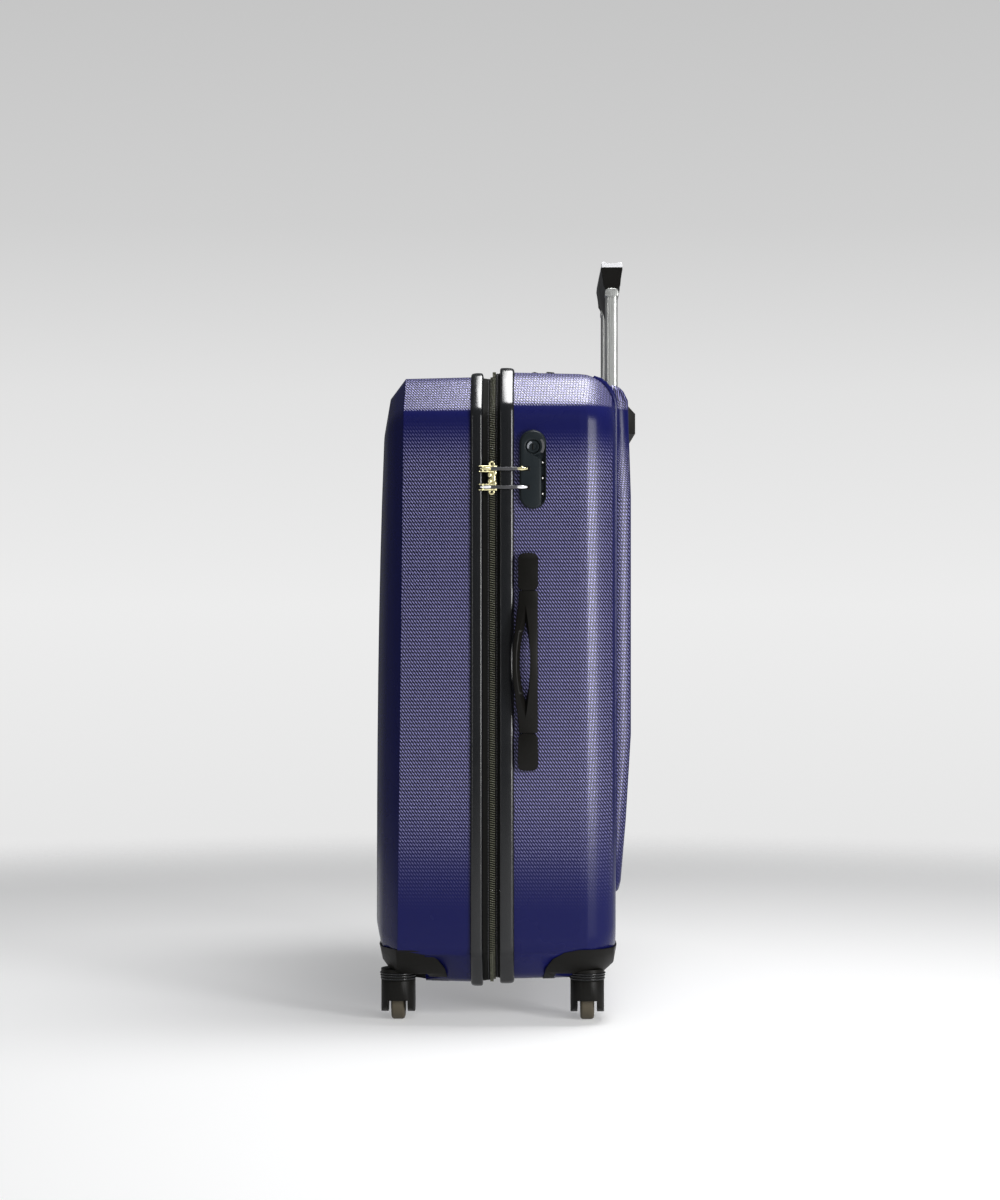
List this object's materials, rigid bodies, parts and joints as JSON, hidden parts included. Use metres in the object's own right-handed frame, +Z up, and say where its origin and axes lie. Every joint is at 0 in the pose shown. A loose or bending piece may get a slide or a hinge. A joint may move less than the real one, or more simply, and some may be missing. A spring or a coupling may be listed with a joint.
{
  "type": "hard shell suitcase on wheels",
  "caption": "Large hard shell suitcase with a zipper round its middle, a telescopic trolley handle, carrying handles, a combination lock and swivel casters.",
  "frame": {"origin": "on the floor, under the middle of the part's box", "axes": "+Z up; +X towards the rear half with the trolley; -Y towards the side handle and the lock; +Y towards the hinge side"},
  "size_m": [0.306, 0.54, 0.897],
  "materials": {
    "shell": "navy ABS, fine embossed weave on its faces",
    "trim": "satin black, rounded strip",
    "moulded_black": "moulded black plastic, faintly grained",
    "lock_plastic": "dark grey satin plastic",
    "zipper_tape": "black woven tape with a coil",
    "lining": "dark grey woven lining",
    "webbing": "elastic webbing",
    "aluminium": "brushed along its length",
    "chrome": "polished",
    "gold": "pale gold plating",
    "steel": "nickel plated",
    "tyre": "brown-grey wheel, worn tread"
  },
  "bodies": {
    "root": {"rear_shell": "shell", "rear_trim": "trim", "rear_zipper_tape": "zipper_tape", "rear_zipper_teeth": "zipper_tape", "rear_hinge_strip": "zipper_tape", "rear_lining": "lining", "rear_wheel_housing_near": "moulded_black", "rear_wheel_housing_far": "moulded_black", "trolley_cup": "moulded_black", "trolley_foot": "moulded_black", "trolley_sleeve_near": "aluminium", "trolley_sleeve_far": "aluminium", "side_handle_mount_upper": "moulded_black", "side_handle_mount_lower": "moulded_black", "top_handle_mount_far": "moulded_black", "top_handle_mount_near": "moulded_black", "lock_housing": "lock_plastic", "lock_dial_shaft": "steel", "packing_strap": "webbing", "strap_buckle": "moulded_black"},
    "front_case": {"front_shell": "shell", "front_trim": "trim", "front_zipper_tape": "zipper_tape", "front_zipper_teeth": "zipper_tape", "front_hinge_strip": "zipper_tape", "front_lining": "lining", "front_wheel_housing_near": "moulded_black", "front_wheel_housing_far": "moulded_black", "lid_pocket": "lining"},
    "trolley_middle": {"trolley_middle_tube_near": "aluminium", "trolley_middle_tube_far": "aluminium"},
    "trolley_inner": {"trolley_inner_tube_near": "aluminium", "trolley_inner_tube_far": "aluminium", "trolley_grip": "moulded_black", "trolley_grip_cap": "chrome"},
    "trolley_button": {"trolley_button": "moulded_black"},
    "side_handle": {"side_handle_grip": "moulded_black"},
    "top_handle": {"top_handle_grip": "moulded_black"},
    "lock_dial_1": {"lock_dial_1": "moulded_black"},
    "lock_dial_2": {"lock_dial_2": "moulded_black"},
    "lock_dial_3": {"lock_dial_3": "moulded_black"},
    "lock_key": {"lock_key_cylinder": "steel"},
    "zipper_slider_upper": {"zipper_slider_upper": "gold"},
    "zipper_slider_lower": {"zipper_slider_lower": "gold"},
    "zipper_pull_upper": {"zipper_pull_upper": "steel"},
    "zipper_pull_lower": {"zipper_pull_lower": "steel"},
    "rear_caster_near": {"rear_fork_near": "moulded_black", "rear_axle_near": "steel"},
    "rear_wheel_near": {"rear_wheel_near": "tyre"},
    "rear_caster_far": {"rear_fork_far": "moulded_black", "rear_axle_far": "steel"},
    "rear_wheel_far": {"rear_wheel_far": "tyre"},
    "front_caster_near": {"front_fork_near": "moulded_black", "front_axle_near": "steel"},
    "front_wheel_near": {"front_wheel_near": "tyre"},
    "front_caster_far": {"front_fork_far": "moulded_black", "front_axle_far": "steel"},
    "front_wheel_far": {"front_wheel_far": "tyre"}
  },
  "joints": [
    {"name": "front_case_hinge", "type": "hinge", "parent": "root", "child": "front_case", "pos_m": [-0.016, 0.2705, 0.4], "axis": [0, 0, -1], "range_deg": [0, 180]},
    {"name": "trolley_middle_slide", "type": "slide", "parent": "root", "child": "trolley_middle", "axis": [0, 0, 1], "range_m": [0, 0.15]},
    {"name": "trolley_inner_slide", "type": "slide", "parent": "trolley_middle", "child": "trolley_inner", "axis": [0, 0, 1], "range_m": [-0.139, 0.095]},
    {"name": "trolley_button_press", "type": "slide", "parent": "trolley_inner", "child": "trolley_button", "axis": [0, 0, -1], "range_m": [0, 0.004], "stiffness_N_per_m": 500},
    {"name": "side_handle_pull", "type": "slide", "parent": "root", "child": "side_handle", "axis": [0, -1, 0], "range_m": [0, 0.0035], "stiffness_N_per_m": 300},
    {"name": "top_handle_pull", "type": "slide", "parent": "root", "child": "top_handle", "axis": [0, 0, 1], "range_m": [0, 0.0035], "stiffness_N_per_m": 300},
    {"name": "lock_dial_1_turn", "type": "hinge", "parent": "root", "child": "lock_dial_1", "pos_m": [0.036, -0.2425, 0.649], "axis": [0, 0, 1], "continuous": true},
    {"name": "lock_dial_2_turn", "type": "hinge", "parent": "root", "child": "lock_dial_2", "pos_m": [0.036, -0.2425, 0.631], "axis": [0, 0, 1], "continuous": true},
    {"name": "lock_dial_3_turn", "type": "hinge", "parent": "root", "child": "lock_dial_3", "pos_m": [0.036, -0.2425, 0.613], "axis": [0, 0, 1], "continuous": true},
    {"name": "lock_key_turn", "type": "hinge", "parent": "root", "child": "lock_key", "pos_m": [0.0305, -0.245, 0.667], "axis": [0, 1, 0], "range_deg": [0, 90]},
    {"name": "zipper_slider_upper_slide", "type": "slide", "parent": "root", "child": "zipper_slider_upper", "axis": [0, 0, 1], "range_m": [0, 0.05]},
    {"name": "zipper_pull_upper_swing", "type": "hinge", "parent": "zipper_slider_upper", "child": "zipper_pull_upper", "pos_m": [-0.0275, -0.2542, 0.6415], "axis": [0, 0, -1], "range_deg": [-5, 170]},
    {"name": "zipper_slider_lower_slide", "type": "slide", "parent": "root", "child": "zipper_slider_lower", "axis": [0, 0, -1], "range_m": [0, 0.07]},
    {"name": "zipper_pull_lower_swing", "type": "hinge", "parent": "zipper_slider_lower", "child": "zipper_pull_lower", "pos_m": [-0.0275, -0.2542, 0.6205], "axis": [0, 0, -1], "range_deg": [-5, 170]},
    {"name": "rear_swivel_near", "type": "hinge", "parent": "root", "child": "rear_caster_near", "pos_m": [0.094, -0.197, 0.0477], "axis": [0, 0, 1], "continuous": true},
    {"name": "rear_roll_near", "type": "hinge", "parent": "rear_caster_near", "child": "rear_wheel_near", "pos_m": [0.094, -0.185, 0.023], "axis": [1, 0, 0], "continuous": true},
    {"name": "rear_swivel_far", "type": "hinge", "parent": "root", "child": "rear_caster_far", "pos_m": [0.094, 0.217, 0.0477], "axis": [0, 0, 1], "continuous": true},
    {"name": "rear_roll_far", "type": "hinge", "parent": "rear_caster_far", "child": "rear_wheel_far", "pos_m": [0.094, 0.229, 0.023], "axis": [1, 0, 0], "continuous": true},
    {"name": "front_swivel_near", "type": "hinge", "parent": "front_case", "child": "front_caster_near", "pos_m": [-0.127, -0.197, 0.0477], "axis": [0, 0, 1], "continuous": true},
    {"name": "front_roll_near", "type": "hinge", "parent": "front_caster_near", "child": "front_wheel_near", "pos_m": [-0.127, -0.185, 0.023], "axis": [1, 0, 0], "continuous": true},
    {"name": "front_swivel_far", "type": "hinge", "parent": "front_case", "child": "front_caster_far", "pos_m": [-0.127, 0.217, 0.0477], "axis": [0, 0, 1], "continuous": true},
    {"name": "front_roll_far", "type": "hinge", "parent": "front_caster_far", "child": "front_wheel_far", "pos_m": [-0.127, 0.229, 0.023], "axis": [1, 0, 0], "continuous": true}
  ]
}
